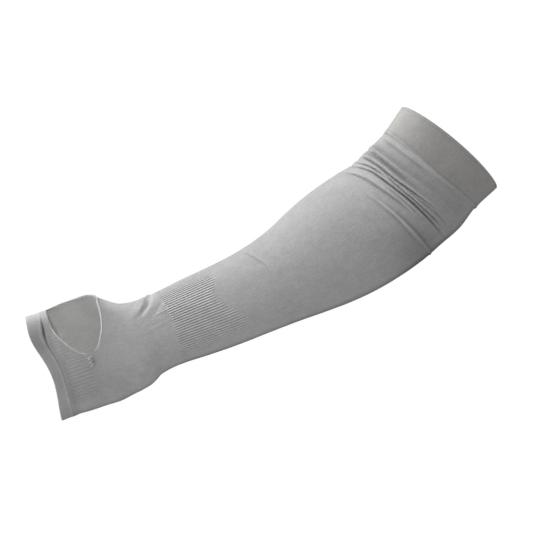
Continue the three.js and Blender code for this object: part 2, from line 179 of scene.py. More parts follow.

# Outline of the thumb hole as (x, angle) corners of a smooth loop, from the hand end forward.
HOLE = np.array([
    (-363.4, 46.0),
    (-361.8, 62.5),
    (-356.5, 76.5),
    (-350.0, 87.0),
    (-345.0, 91.4),
    (-341.0, 92.5),
    (-337.6, 91.6),
    (-333.0, 87.0),
    (-328.0, 75.8),
    (-325.1, 66.5),
    (-322.6, 50.0),
    (-321.8, 34.0),
    (-322.2, 14.0),
    (-326.5, -8.0),
    (-342.0, -14.0),
    (-356.5, -10.0),
    (-361.5, 2.0),
])
HAND_MIDDLE_X = -341.5  # where the point of the hole is
UNDERCUT = {"start": 12.0, "end": 66.0, "fade": 12.0, "reach": 1.8}  # of the hole's edge beside the hem
EDGING = {"half_width": 0.56, "half_height": 0.6, "inset": 0.25, "pitch": 0.95, "ripple": 0.18}
# The edging lies further back on the far rim. It is thin beside the hem and at the point of the hole, and
# broad along the sides.
EDGING_FAR = {"from": 34.0, "to": 18.0, "back": 1.2, "out": -0.1}
EDGING_BY_HEM = {"from": 60.0, "to": 44.0, "least": 0.8}
EDGING_TIP = {"x": -340.3, "half_width": 4.6, "fade": 2.0, "from": 80.0, "least": 0.5}
EDGING_BROAD = {"from": 90.0, "to": 70.0, "share": 0.32}

# The edge of the hand cloth beside its hem: nearly level with the hem, and a slit near the thumb side.
HAND_EDGE = {"rise": 0.65, "spread": 3.0}
HAND_SLIT = {"angle": 53.0, "spread": 11.0, "depth": 1.7, "width": 1.2}
# The edge of the arm cloth beside the upper seam, low at the thumb side and raised away from it.
UPPER_EDGE = {"rise": 0.85, "least": 0.15, "angles": (50.0, 84.0), "spread": 2.5, "crest": 0.4}
# The bar tack: zigzag thread between two angles, in passes given as (shift in zigs, lift).
TACK = {"x": -342.2, "half_width": 2.2, "start": 94.8, "end": 106.6, "zigs": 5, "bow": 0.25}
TACK_PASSES = ((0.0, 0.25), (0.5, 0.5))
TACK_RADIUS = 0.2
# Small stitches across the upper seam. They lie deeper away from the thumb side, and their ends dive in.
STITCH = {"pitch": 1.9, "start": -1.5, "end": 0.9, "radius": 0.22, "lift": 0.1, "slant": 0.35}
STITCH_DIVE = {"depth": 0.4, "power": 6}
STITCH_SUNK = {"angles": (56.0, 84.0), "depth": 0.5}
THREAD_TIP = 0.45  # how thin the end of a thread is
ASKEW = (0.31, 0.42, 0.85)  # a direction that no thread runs along

# How finely the meshes are cut: columns round the arm, and rows as (first x, last x, spacing).
COLUMNS = 400
RIB_COLUMNS = 800
ELBOW_COLUMNS = 200
LINING_COLUMNS = 100
RIBBED_ROWS = (
    (WRIST_X, WRIST_X + 2.4, 0.6),
    (WRIST_X + 4.0, WRIST_RIB_LEVEL_X - 5.0, 5.0),
    (WRIST_RIB_LEVEL_X - 4.0, WRIST_RIB_POINTS[0]["x"] + 1.0, 1.0),
)
PLAIN_ROWS = ((-207.0, -195.0, 4.5), (-192.0, -172.0, 1.25), (-168.0, -85.0, 5.0))
LAST_FOLD_X = -36.0
ELBOW_ROWS = ((-81.0, LAST_FOLD_X, 0.28),)
TO_EDGE_SHARES = np.linspace(0.08, 0.92, 12)  # from the last fold to the edge of the cloth
EDGE_ROWS = 13
LINING_SHARES = np.linspace(0, 0.9, 10)  # from the edge of the cloth back to the last fold
LINING_ROWS = ((LAST_FOLD_X, -81.0, 0.9), (-85.0, WRIST_X, 7.0))
HAND_ROWS = 24  # from the hand hem to the thumb hole
HAND_ROW_POWER = 1.3  # above 1 brings these rows closer together beside the hem
BEYOND_HOLE_ROWS = ((HAND_MIDDLE_X, -306.0, 2.5), (-304.5, WRIST_X, 0.9))
HEM_FLAT_ROWS = 12
HEM_LINING_ROWS = 8
RIM_BEND = 22.5  # degrees from row to row round a rim
WRAP_STEPS = 6  # of each wrap of the edging
EDGING_AROUND = 14
THREAD_AROUND = 6
ZIG_POINTS = 5
STITCH_POINTS = 7
SEAM_STEPS = 2000  # for measuring along the upper seam
SHARP_ANGLE = 75.0  # an edge between faces that meet at more than this stays sharp
SAME = 1e-6  # edges nearer to each other than this are one edge

# Camera and studio, in millimetres. Only the backdrop and the soft lights have their sizes in metres.
CAMERA_AT = (-178.4, -1500.0, -13.65)
CAMERA_ROLL = 28.56  # degrees
PICTURE_WIDTH = 437.0
SENSOR = 36.0
FLOOR_Z = -420.0
BACKDROP_RADIUS = 6.0
WHITE = (1.0, 1.0, 1.0, 1.0)
SKY = 0.80  # light from all round
SOFTBOX_COLUMNS = ("name", "place", "size", "watts")
SOFTBOXES = (
    ("softbox_above", (-640, -100, 1020), 1.0, 20.5),
    ("softbox_hand_side", (-2430, -350, 230), 1.6, 42.0),
)
SOFTBOX_AIM = (-180, 0, -20)

# The knit: wales round the arm, millimetres for a course, and the legs of its stitches.
WALES = 300
COURSE = 0.8
LEG_LEAN = 1.3
LEG_HEIGHT = 0.35
KNIT_MIX = {"cloud": 0.5, "streak": 0.3, "height": 0.08}  # parts of its tone, beside the fibres
STREAKS = (170.0, 90.0, 1.0)  # round the arm, and for each metre along it
KNIT_RELIEF = 0.00022  # metres
PLY_RELIEF = 0.0001  # metres

# Tone of the cloth along the arm, as (x, tone): partly the knit's own tone, partly painted light and
# shade.
KNIT_TONE_AND_PAINTED_LIGHT = (
    (-345, 0.75), (-328, 0.86), (-312, 1.08), (-285, 1.06), (-265, 1.0), (-205, 1.0), (-160, 0.95),
    (-130, 0.97), (-100, 1.0), (-76, 1.06), (-62, 1.06), (-38, 0.81),
)
# Painted light and shade on the hems round the front, as (angle, tone): a painted highlight makes them
# paler on the thumb side.
HAND_HEM_PAINTED_LIGHT = (
    (-40, 1.0), (-4, 1.4), (16, 1.56), (30, 1.38), (44, 1.04), (56, 0.82), (68, 0.77), (80, 0.90),
    (95, 0.95), (104, 0.90), (118, 1.0), (130, 1.15), (145, 1.15), (165, 1.0),
)
UPPER_HEM_PAINTED_LIGHT = (
    (-40, 1.0), (0, 1.18), (20, 1.2), (32, 1.06), (44, 0.98), (56, 0.87), (68, 0.86), (80, 0.88),
    (95, 1.0), (120, 1.03), (150, 1.0), (172, 0.75), (190, 0.8), (240, 1.0),
)
# Painted shade on the underside, darker by these shares as (x, share).
UNDERSIDE_SHADE_ANGLES = (150.0, 168.0)
UNDERSIDE_PAINTED_SHADE = (
    (-366, 0.28), (-300, 0.32), (-262, 0.45), (-240, 0.45), (-205, 0.38), (-160, 0.38), (-100, 0.46),
    (-80, 0.6), (-60, 0.54), (-40, 0.4),
)
# Patches of painted light and shade, each round one x: painted shade under the elbow, and painted light
# on the other patches. Its share comes in from the first angle to the second.
PAINTED_PATCH_COLUMNS = ("x", "spread", "angles", "share")
PAINTED_LIGHT_PATCHES = (
    (-74, 24, (80, 150), -0.39),
    (-366, 9, (52, 28), 0.5),
    (-314, 8, (52, 22), 0.33),
    (-31, 8, (46, 14), 0.22),
    (-350, 24, (122, 148), 0.25),
    (-279, 5, (50, 28), 0.12),
)


def smooth(start, end, value):
    """0 at the start and 1 at the end, with a soft rise between them."""
    share = np.clip((value - start) / (end - start), 0, 1)
    return share * share * (3 - 2 * share)


def bell(value, middle, spread):
    """1 at the middle, falling off softly to both sides."""
    return np.exp(-(((value - middle) / spread) ** 2))


def cubic(at, rows, values):
    """A cubic through the values at the rows, with the mean of the slopes at each row."""
    slopes = np.diff(values, axis=0) / np.diff(rows)[:, None]
    tangents = np.vstack([slopes[:1], (slopes[1:] + slopes[:-1]) / 2, slopes[-1:]])
    k = np.clip(np.searchsorted(rows, at, side="right") - 1, 0, len(rows) - 2)
    step = (rows[k + 1] - rows[k])[..., None]
    t = np.clip((at - rows[k])[..., None] / step, 0, 1)
    start = (1 + 2 * t) * (1 - t) ** 2 * values[k] + t * (1 - t) ** 2 * step * tangents[k]
    end = t * t * (3 - 2 * t) * values[k + 1] + t * t * (t - 1) * step * tangents[k + 1]
    return np.moveaxis(start + end, -1, 0)


def near_front(angle):
    """An angle brought into the half turn either side of the front."""
    return np.mod(angle + 90, 360) - 90


def from_thumb_side(angle):
    """Degrees away from the thumb side, the same at the front and at the back."""
    return np.abs(np.mod(angle + 180, 360) - 180)


def edge_x(edge, angle):
    """The x of an edge or seam at an angle."""
    x = edge["x"] + edge["bow"] * np.sin(np.radians(angle)) ** 2
    for wave in edge["waves"]:
        x = x + wave["shift"] * bell(near_front(angle), wave["angle"], wave["spread"])
    return x


def shown_between(start, end, fade, value):
    """1 between the start and the end, fading out just inside both."""
    return smooth(start, start + fade, value) * (1 - smooth(end - fade, end, value))


def fold_relief(x, angle):
    """How far the folds lift the cloth."""
    turn = near_front(angle)
    paths = np.array([row[0] for row in FOLDS]).T
    lines = cubic(turn, np.array(FOLD_ANGLES), paths)
    dip = CROOK_DIP["share"] * smooth(*CROOK_DIP["angles"], turn)
    gain = 1 + CROOK_GAIN["share"] * smooth(*CROOK_GAIN["angles"], turn)
    gain = gain * (1 - dip * smooth(*CROOK_DIP["x"], x))
    lift = np.zeros(np.broadcast(x, angle).shape)
    for row, line in zip(FOLDS, lines):
        fold = dict(zip(FOLD_COLUMNS, row))
        fade = max(FOLD_FADE["least"], FOLD_FADE["share"] * (fold["end"] - fold["start"]))
        shown = shown_between(fold["start"], fold["end"], fade, turn) * gain
        off = x - line
        spread = np.where(off < 0, fold["to_hand"], fold["to_arm"])
        power = CREASE_POWER if fold["height"] < 0 else 2
        lift = lift + fold["height"] * shown * np.exp(-(np.abs(off / spread) ** power))
    for row in LONG_FOLDS:
        fold = dict(zip(LONG_FOLD_COLUMNS, row))
        shown = shown_between(fold["start_x"], fold["end_x"], LONG_FOLD_FADE, x)
        lift = lift + fold["height"] * shown * bell(turn, fold["angle"], fold["spread"])
    return lift


def rib_zones(x, angle):
    """Height of the wrist ribs, how clear their painted light and shade is, and the height of the hand
    ribs.
    """
    end = WRIST_RIB_LEVEL_X
    for point in WRIST_RIB_POINTS:
        from_point = np.abs(near_front(angle) - point["angle"]) / point["half_width"]
        end = end + np.clip(1 - from_point, 0, 1) * (point["x"] - WRIST_RIB_LEVEL_X)
    start = WRIST_X - WRIST_RIB["lead"] * smooth(*WRIST_RIB["lead_from"], from_thumb_side(angle))
    wrist = smooth(start, start + WRIST_RIB["start"], x) * (1 - smooth(end - WRIST_RIB["fade"], end, x))
    share = np.interp(near_front(angle), *zip(*WRIST_RIB_SHARES))
    hand = smooth(HAND_RIB["start"], HAND_RIB["fade"], x - edge_x(HAND_SEAM, angle))
    hand = hand * (1 - smooth(HAND_RIB["end_x"] - HAND_RIB["fade"], HAND_RIB["end_x"], x))
    wrist = WRIST_RIB["height"] * wrist
    return wrist * share, wrist * np.minimum(share, 1), HAND_RIB["height"] * hand


def rib_ridge(angle):
    """Broad ridges with narrower grooves: 1 on a ridge and 0 in a groove."""
    return 1 - np.abs(2 * np.mod(angle * RIB_COUNT / 360, 1) - 1) ** RIB_POWER


def rib_relief(x, angle):
    """How far the ribs stand out of the cloth, or sink into it."""
    wrist, _, hand = rib_zones(x, angle)
    return (wrist + hand) * (rib_ridge(angle) - RIB_SUNK)


def rib_painted_light(x, angle):
    """Painted light and shade of the ribs: a painted highlight on a rib and painted shade between two."""
    _, wrist, hand = rib_zones(x, angle)
    groove = RIB_PAINTED_LIGHT["groove"] + (1 - RIB_PAINTED_LIGHT["groove"]) * rib_ridge(angle)
    low = smooth(*RIB_PAINTED_LIGHT["lower_from"], from_thumb_side(angle))
    painted_highlight = RIB_PAINTED_LIGHT["rib"] * (1 - (1 - RIB_PAINTED_LIGHT["lower"]) * low)
    return 1 + (wrist + hand) * (painted_highlight * groove - 1)


def knit_tone_and_painted_light(x, angle):
    """Tone of the cloth by its ribs and its place along the arm, with painted shade on its underside and
    patches of painted light and shade.
    """
    painted_light_and_shade = 1 - np.interp(x, *zip(*UNDERSIDE_PAINTED_SHADE)) * smooth(*UNDERSIDE_SHADE_ANGLES, from_thumb_side(angle))
    for row in PAINTED_LIGHT_PATCHES:
        patch = dict(zip(PAINTED_PATCH_COLUMNS, row))
        shown = smooth(*patch["angles"], from_thumb_side(angle))
        shown = shown * bell(x, patch["x"], patch["spread"])
        painted_light_and_shade = painted_light_and_shade * (1 + patch["share"] * shown)
    return rib_painted_light(x, angle) * np.interp(x, *zip(*KNIT_TONE_AND_PAINTED_LIGHT)) * painted_light_and_shade


def cloth(x, angle, depth):
    """Places of the cloth in millimetres, depth out from its outer face, and the ways out of it."""
    x, angle, depth = np.broadcast_arrays(*(np.asarray(v, float) for v in (x, angle, depth)))
    z, tilt, half_height, half_depth, sweep, fullness = cubic(x, SECTIONS[:, 0], SECTIONS[:, 1:])
    up, front = np.cos(np.radians(angle)), np.sin(np.radians(angle))
    lean = np.radians(tilt)
    reach = (np.abs(up) ** fullness + np.abs(front) ** fullness) ** (-1 / fullness)
    out_up = np.sign(up) * np.abs(reach * up) ** (fullness - 1) / half_height
    out_front = np.sign(front) * np.abs(reach * front) ** (fullness - 1) / half_depth
    length = np.hypot(out_up, out_front)
    out_up, out_front = out_up / length, out_front / length
    lift = depth + fold_relief(x, angle)
    high = half_height * reach * up + lift * out_up
    near = half_depth * reach * front + lift * out_front
    place = np.stack([x - np.sin(lean) * high + sweep * front**2, -near, z + np.cos(lean) * high], -1)
    outward = np.stack([-np.sin(lean) * out_up, -out_front, np.cos(lean) * out_up], -1)
    return place, outward


def spaced(start, end, step):
    """Places from the start to the end, at most a step apart."""
    return np.linspace(start, end, max(2, int(math.ceil(abs(end - start) / step)) + 1))


def all_rows(table):
    """The places of all the stretches of a table of (first, last, spacing)."""
    return np.concatenate([spaced(*stretch) for stretch in table])


def unit(rows):
    """Directions of length 1."""
    return rows / np.linalg.norm(rows, axis=1)[:, None]


def make_piece(
    name, points, faces, materials, knit=None, face_material=None, tone=None
):
    """A mesh object from millimetre points. knit holds (turns, millimetres along) for each point."""
    mesh = bpy.data.meshes.new(name)
    mesh.from_pydata((np.asarray(points) * MM).tolist(), [], faces)
    mesh.polygons.foreach_set("use_smooth", np.ones(len(mesh.polygons), bool))
    mesh.set_sharp_from_angle(angle=math.radians(SHARP_ANGLE))
    for material in materials:
        mesh.materials.append(material)
    if face_material is not None:
        mesh.polygons.foreach_set("material_index", np.asarray(face_material, np.int32))
    if knit is not None:
        add_knit_map(mesh, np.asarray(knit))
    if tone is not None:
        layer = mesh.attributes.new("tone", "FLOAT", "POINT")
        layer.data.foreach_set("value", np.asarray(tone, np.float32))
    mesh.update()
    piece = bpy.data.objects.new(name, mesh)
    bpy.context.scene.collection.objects.link(piece)
    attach(piece, "root")
    return piece


def add_knit_map(mesh, knit):
    """A map that follows the wales and courses, kept whole where a face crosses the start of a turn."""
    corner = np.empty(len(mesh.loops), np.int32)
    mesh.loops.foreach_get("vertex_index", corner)
    first = np.empty(len(mesh.polygons), np.int32)
    mesh.polygons.foreach_get("loop_start", first)
    turn, along = knit[corner, 0], knit[corner, 1]
    highest = np.maximum.reduceat(turn, first)
    count = np.diff(np.append(first, len(corner)))
    turn = turn + (np.repeat(highest, count) - turn > 0.5)
    layer = mesh.uv_layers.new(name="knit")
    layer.uv.foreach_set("vector", np.stack([turn, along * MM], -1).astype(np.float32).ravel())


def ring_faces(start_a, count_a, start_b, count_b):
    """Faces between two rings that start at the same angle, where one count divides the other."""
    if count_a < count_b:
        return [face[::-1] for face in ring_faces(start_b, count_b, start_a, count_a)]
    share = count_a // count_b
    faces = []
    for k in range(count_b):
        fine = [start_a + (k * share + j) % count_a for j in range(share + 1)]
        faces.append([*fine, start_b + (k + 1) % count_b, start_b + k])
    return faces


def level(value):
    """The same value at every angle."""
    return lambda angle: value + 0 * angle


def blend(start, end, share):
    """A share of the way from one edge to another, by angle."""
    return lambda angle: start(angle) * (1 - share) + end(angle) * share


def tube_piece(name, rings, materials, lining, tone_at):
    """A closed tube over a loop of rings, each given as (x, depth, columns) with x and depth by angle."""
    points, knit, tone, starts, counts = [], [], [], [], []
    for x_at, depth_at, columns in rings:
        angle = np.arange(columns) * 360 / columns
        x, depth = x_at(angle), depth_at(angle)
        starts.append(sum(counts))
        counts.append(columns)
        points.append(cloth(x, angle, depth)[0])
        knit.append(np.stack([angle / 360, x + np.zeros(columns)], -1))
        tone.append(np.ones(columns) if len(tone) in lining else tone_at(x, angle))
    faces, face_material = [], []
    for k in range(len(rings)):
        following = (k + 1) % len(rings)
        band = ring_faces(starts[k], counts[k], starts[following], counts[following])
        faces += band
        face_material += [int(k in lining)] * len(band)
    tone = np.concatenate(tone)
    return make_piece(
        name, np.vstack(points), faces, materials, np.vstack(knit), face_material, tone
    )


def hem_painted_light(tones, rim, painted_highlight):
    """Painted light and shade of a hem by angle, and a painted highlight along its rim."""
    def tone_at(x, angle):
        at_rim = smooth(HEM_FABRIC / 2, HEM_FABRIC / 4, np.abs(x - edge_x(rim, angle)))
        return np.interp(near_front(angle), *zip(*tones)) * (1 + painted_highlight * at_rim)

    return tone_at


def make_hem(name, seam, rim, welt, tones, materials, node):
    """A turned hem: from the seam over the outer face, round the rim and back inside."""
    side = math.copysign(1, rim["x"] - seam["x"])
    radius = HEM_FABRIC / 2
    middle = HEM_PROUD - radius

    def from_seam(step):
        return lambda angle: edge_x(seam, angle) + side * step

    def from_rim(step):
        return lambda angle: edge_x(rim, angle) - side * step

    def welted(depth, share):
        def depth_at(angle):
            swell = welt["swell"] * bell(near_front(angle), welt["angle"], welt["spread"])
            return depth + share * (welt["height"] + swell)

        return depth_at

    rows = [(from_seam(step), welted(depth, share)) for step, depth, share in HEM_EDGE]
    for share in np.linspace(0, 1, HEM_FLAT_ROWS):
        flat = blend(from_seam(HEM_EDGE[-1][0] + 1), from_rim(RIM_GROOVE["start"]), share)
        rows.append((flat, level(HEM_PROUD)))
    for step in np.arange(RIM_GROOVE["start"] - RIM_GROOVE["step"], radius, -RIM_GROOVE["step"]):
        groove = welt["groove"] * bell(step, RIM_GROOVE["from_rim"], RIM_GROOVE["spread"])
        rows.append((from_rim(step), level(HEM_PROUD - groove)))
    rows.append((from_rim(radius), level(HEM_PROUD)))
    for bend in np.radians(np.arange(RIM_BEND, 180, RIM_BEND)):
        rows.append((from_rim(radius * (1 - math.sin(bend))), level(middle + radius * math.cos(bend))))
    outside = len(rows)
    for share in np.linspace(0, 1, HEM_LINING_ROWS):
        rows.append((blend(from_rim(radius), from_seam(0), share), level(middle - radius)))
    rings = [(x_at, depth_at, COLUMNS) for x_at, depth_at in rows]
    lining = range(outside, len(rings))
    if side < 0:
        rings = rings[::-1]
        lining = range(len(rings) - outside)
    tone_at = hem_painted_light(tones, rim, welt["rim_highlight"])
    piece = tube_piece(name, rings, materials, lining, tone_at)
    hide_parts(node)
    return piece


def upper_edge_rise(off, angle):
    """How far the arm cloth rises beside the upper seam."""
    raised = smooth(*UPPER_EDGE["angles"], from_thumb_side(angle))
    share = UPPER_EDGE["least"] + (1 - UPPER_EDGE["least"]) * raised
    return UPPER_EDGE["rise"] * share * smooth(-UPPER_EDGE["spread"], -UPPER_EDGE["crest"], off)


def make_arm(materials):
    """The arm cloth, from the ribbed wrist to the upper hem."""
    last_fold = level(LAST_FOLD_X)

    def ribs_at(x):
        return lambda angle: rib_relief(x, angle)

    def beside_seam(off):
        return lambda angle: edge_x(UPPER_SEAM, angle) + off

    def rise_at(off):
        return lambda angle: upper_edge_rise(off, angle)

    outer = [(level(x), ribs_at(x), RIB_COLUMNS) for x in all_rows(RIBBED_ROWS)]
    outer += [(level(x), level(0), COLUMNS) for x in all_rows(PLAIN_ROWS)]
    outer += [(level(x), level(0), ELBOW_COLUMNS) for x in all_rows(ELBOW_ROWS)]
    for share in TO_EDGE_SHARES:
        outer.append((blend(last_fold, beside_seam(-UPPER_EDGE["spread"]), share), level(0), COLUMNS))
    for off in np.linspace(-UPPER_EDGE["spread"], TUCK, EDGE_ROWS):
        outer.append((beside_seam(off), rise_at(off), COLUMNS))
    lining = [blend(beside_seam(TUCK), last_fold, share) for share in LINING_SHARES]
    lining += [level(x) for x in all_rows(LINING_ROWS)]
    rings = outer + [(x_at, level(-FABRIC), LINING_COLUMNS) for x_at in lining]
    inside = range(len(outer), len(rings))
    piece = tube_piece("arm_cloth", rings, materials, inside, knit_tone_and_painted_light)
    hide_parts("arm_section")
    return piece


def hole_loop(per_corner):
    """Points of the smooth loop through the corners of the thumb hole, in (x, angle)."""
    before, after, beyond = np.roll(HOLE, 1, 0), np.roll(HOLE, -1, 0), np.roll(HOLE, -2, 0)
    t = (np.arange(per_corner) / per_corner)[None, :, None]
    p0, p1, p2, p3 = (p[:, None, :] for p in (before, HOLE, after, beyond))
    loop = p1 + t / 2 * (p2 - p0 + t * (2 * p0 - 5 * p1 + 4 * p2 - p3 + t * (3 * (p1 - p2) + p3 - p0)))
    return loop.reshape(-1, 2)


def hole_sides(angle):
    """The x of the hand side and of the arm side of the thumb hole; both the same where it is closed."""
    loop = hole_loop(per_corner=40)
    loop = np.roll(loop, -int(loop[:, 1].argmin()), 0)
    point = int(loop[:, 1].argmax())
    hand_side, arm_side = loop[: point + 1], np.vstack([loop[point:], loop[:1]])[::-1]
    return tuple(np.interp(near_front(angle), side[:, 1], side[:, 0]) for side in (hand_side, arm_side))


def hand_depth(x, angle):
    """Relief of the hand cloth: its ribs, its edge beside the hem, and the slit in that edge."""
    turn, from_seam = near_front(angle), x - edge_x(HAND_SEAM, angle)
    slit = bell(turn, HAND_SLIT["angle"], HAND_SLIT["spread"])
    rise = HAND_EDGE["rise"] * (1 - slit) * bell(from_seam, 0, HAND_EDGE["spread"])
    sink = HAND_SLIT["depth"] * slit * bell(from_seam, 0, HAND_SLIT["width"])
    return rib_relief(x, angle) + rise - sink


def hand_grid():
    """Rows of x, of x on the inside and of angles over the hand cloth, and where the hole is open."""
    angle = np.arange(COLUMNS) * 360 / COLUMNS
    hand_side, arm_side = hole_sides(angle)
    before = np.linspace(0, 1, HAND_ROWS)[:, None] ** HAND_ROW_POWER
    after = (all_rows(BEYOND_HOLE_ROWS)[:, None] - HAND_MIDDLE_X) / (WRIST_X - HAND_MIDDLE_X)
    start = edge_x(HAND_SEAM, angle) - TUCK
    x = np.vstack([
        start * (1 - before) + hand_side * before,
        arm_side * (1 - after) + WRIST_X * after,
    ])
    undercut = shown_between(UNDERCUT["start"], UNDERCUT["end"], UNDERCUT["fade"], near_front(angle))
    inner_x = x.copy()
    inner_x[:HAND_ROWS] -= UNDERCUT["reach"] * undercut * before
    return x, inner_x, angle + 0 * x, arm_side - hand_side > SAME


def wall_faces(row, inner, ahead):
    """Quads from a row of the outer face to the inner face, facing along the arm or back."""
    edge = [row, np.roll(row, -1)] if ahead else [np.roll(row, -1), row]
    return np.stack([*edge, edge[1] + inner, edge[0] + inner], -1)


def hand_faces(shape, opened):
    """Faces of the hand cloth: its outer face, its edges with those of the hole, and its inner face."""
    inner = math.prod(shape)
    index = np.arange(inner).reshape(shape)
    index[HAND_ROWS] = np.where(opened, index[HAND_ROWS], index[HAND_ROWS - 1])
    at_hole = opened | np.roll(opened, -1)
    following = np.roll(index, -1, 1)
    strips = np.delete(np.arange(shape[0] - 1), HAND_ROWS - 1)
    corners = [index[strips], following[strips], following[strips + 1], index[strips + 1]]
    outside = np.stack(corners, -1).reshape(-1, 4)
    walls = np.vstack([
        wall_faces(index[0], inner, False),
        wall_faces(index[-1], inner, True),
        wall_faces(index[HAND_ROWS - 1], inner, True)[at_hole],
        wall_faces(index[HAND_ROWS], inner, False)[at_hole],
    ])
    return outside, walls, outside[:, ::-1] + inner


def make_hand(materials):
    """The hand cloth, from the hand hem to the wrist, with the thumb hole left open."""
    x, inner_x, angle, opened = hand_grid()
    depth = hand_depth(x, angle)
    inner_depth = depth - rib_relief(x, angle) - FABRIC
    outer_points = cloth(x, angle, depth)[0].reshape(-1, 3)
    inner_points = cloth(inner_x, angle, inner_depth)[0].reshape(-1, 3)
    points = np.vstack([outer_points, inner_points])
    knit = np.tile(np.stack([angle.ravel() / 360, x.ravel()], -1), (2, 1))
    # The inside takes a share of the painted light and shade of the ribs.
    lining_painted_light = 1 + LINING_RIB_SHARE * (rib_painted_light(x, angle) - 1)
    tone = np.append(knit_tone_and_painted_light(x, angle).ravel(), lining_painted_light.ravel())
    outside, walls, inside = hand_faces(x.shape, opened)
    used, renumbered = np.unique(np.vstack([outside, walls, inside]), return_inverse=True)
    faces = renumbered.reshape(-1, 4)
    face_material = np.zeros(len(faces), int)
    face_material[-len(inside):] = 1
    piece = make_piece(
        "hand_cloth", points[used], faces.tolist(), materials, knit[used], face_material, tone=tone[used]
    )
    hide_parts("hand_section")
    return piece


def sweep_faces(rings, around, closed):
    """Quads over rings of points swept along a path, with the ends capped unless it is closed."""
    index = np.arange(rings * around).reshape(rings, around)
    following = np.roll(index, -1, 0) if closed else index[1:]
    current = index if closed else index[:-1]
    corners = [current, np.roll(current, -1, 1), np.roll(following, -1, 1), following]
    faces = np.stack(corners, -1).reshape(-1, 4).tolist()
    if not closed:
        faces += [index[0, ::-1].tolist(), index[-1].tolist()]
    return faces


def thread(path, radius):
    """Points and faces of one thread with thin ends along a path of millimetre points."""
    path = np.asarray(path, float)
    ahead = unit(np.gradient(path, axis=0))
    side = unit(np.cross(ahead, ASKEW))
    over = np.cross(ahead, side)
    widths = np.full(len(path), radius)
    widths[[0, -1]] = radius * THREAD_TIP
    turn = np.linspace(0, 2 * np.pi, THREAD_AROUND, endpoint=False)
    ring = np.cos(turn)[None, :, None] * side[:, None] + np.sin(turn)[None, :, None] * over[:, None]
    points = path[:, None] + ring * widths[:, None, None]
    return points.reshape(-1, 3), sweep_faces(len(path), THREAD_AROUND, False)


def make_threads(name, paths, radius, material):
    """One piece of many short threads."""
    points, faces = [], []
    for path in paths:
        base = sum(len(p) for p in points)
        thread_points, thread_faces = thread(path, radius)
        points.append(thread_points)
        faces += [[base + k for k in face] for face in thread_faces]
    return make_piece(name, np.vstack(points), faces, [material])


def edging_form(x, angle):
    """How broad the edging is along the loop of the hole, and how far it is on the far rim."""
    far = smooth(EDGING_FAR["from"], EDGING_FAR["to"], angle)
    by_hem = smooth(EDGING_BY_HEM["from"], EDGING_BY_HEM["to"], angle) * (1 - far) * (x < HAND_MIDDLE_X)
    from_tip = np.abs(x - EDGING_TIP["x"])
    tip = smooth(EDGING_TIP["half_width"], EDGING_TIP["half_width"] - EDGING_TIP["fade"], from_tip)
    tip = tip * (angle > EDGING_TIP["from"])
    broad = smooth(EDGING_BROAD["from"], EDGING_BROAD["to"], angle) * (1 - far) * (1 - by_hem)
    thin = (1 - EDGING_BY_HEM["least"]) * by_hem + (1 - EDGING_TIP["least"]) * tip
    return 1 - thin + EDGING_BROAD["share"] * broad, far


def make_edging(material):
    """The overlocked edge of the thumb hole: a cord of slanting wraps round the edge of the cloth."""
    loop = hole_loop(per_corner=200)
    x, angle = loop.T
    place, outward = cloth(x, angle, hand_depth(x, angle) - FABRIC / 2)
    run = np.append(0, np.cumsum(np.linalg.norm(np.diff(place, axis=0, append=place[:1]), axis=1)))
    wraps = round(run[-1] / EDGING["pitch"])
    share = np.arange(wraps * WRAP_STEPS) / (wraps * WRAP_STEPS)

    def evenly(rows):
        return np.stack([np.interp(share * run[-1], run, np.append(v, v[0])) for v in rows.T], -1)

    size, far = (values[:, None] for values in edging_form(*evenly(loop).T))
    place, outward = evenly(place), unit(evenly(outward))
    ahead = unit(np.roll(place, -1, 0) - np.roll(place, 1, 0))
    aside = np.cross(outward, ahead)
    turn = np.linspace(0, 2 * np.pi, EDGING_AROUND, endpoint=False)
    wrap = share[:, None] * wraps + turn / (2 * np.pi)
    swell = (1 + EDGING["ripple"] * np.cos(2 * np.pi * wrap)) * size
    across = EDGING["half_width"] * np.cos(turn) * swell - EDGING["inset"] - EDGING_FAR["back"] * far
    high = EDGING["half_height"] * np.sin(turn) * swell + EDGING_FAR["out"] * far
    points = place[:, None] + across[..., None] * aside[:, None] + high[..., None] * outward[:, None]
    faces = sweep_faces(len(share), EDGING_AROUND, True)
    piece = make_piece("thumb_edging", points.reshape(-1, 3), faces, [material])
    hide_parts("thumb_hole_edging")
    return piece


def make_tack(material):
    """The bar tack: passes of zigzag thread below the point of the thumb hole."""
    corners = np.arange(TACK["zigs"] + 1)
    x = TACK["x"] + TACK["half_width"] * (1 - 2 * (corners % 2))
    t = np.linspace(0, 1, ZIG_POINTS)
    paths = []
    for shift, lift in TACK_PASSES:
        angle = TACK["start"] + (corners + shift) / (TACK["zigs"] + 1) * (TACK["end"] - TACK["start"])
        depth = lift + TACK["bow"] * np.sin(np.pi * t)
        for k in range(TACK["zigs"]):
            path_x = x[k] + (x[k + 1] - x[k]) * t
            path_angle = angle[k] + (angle[k + 1] - angle[k]) * t
            paths.append(cloth(path_x, path_angle, depth)[0])
    piece = make_threads("thumb_tack_thread", paths, TACK_RADIUS, material)
    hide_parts("thumb_hole_bar_tack")
    return piece


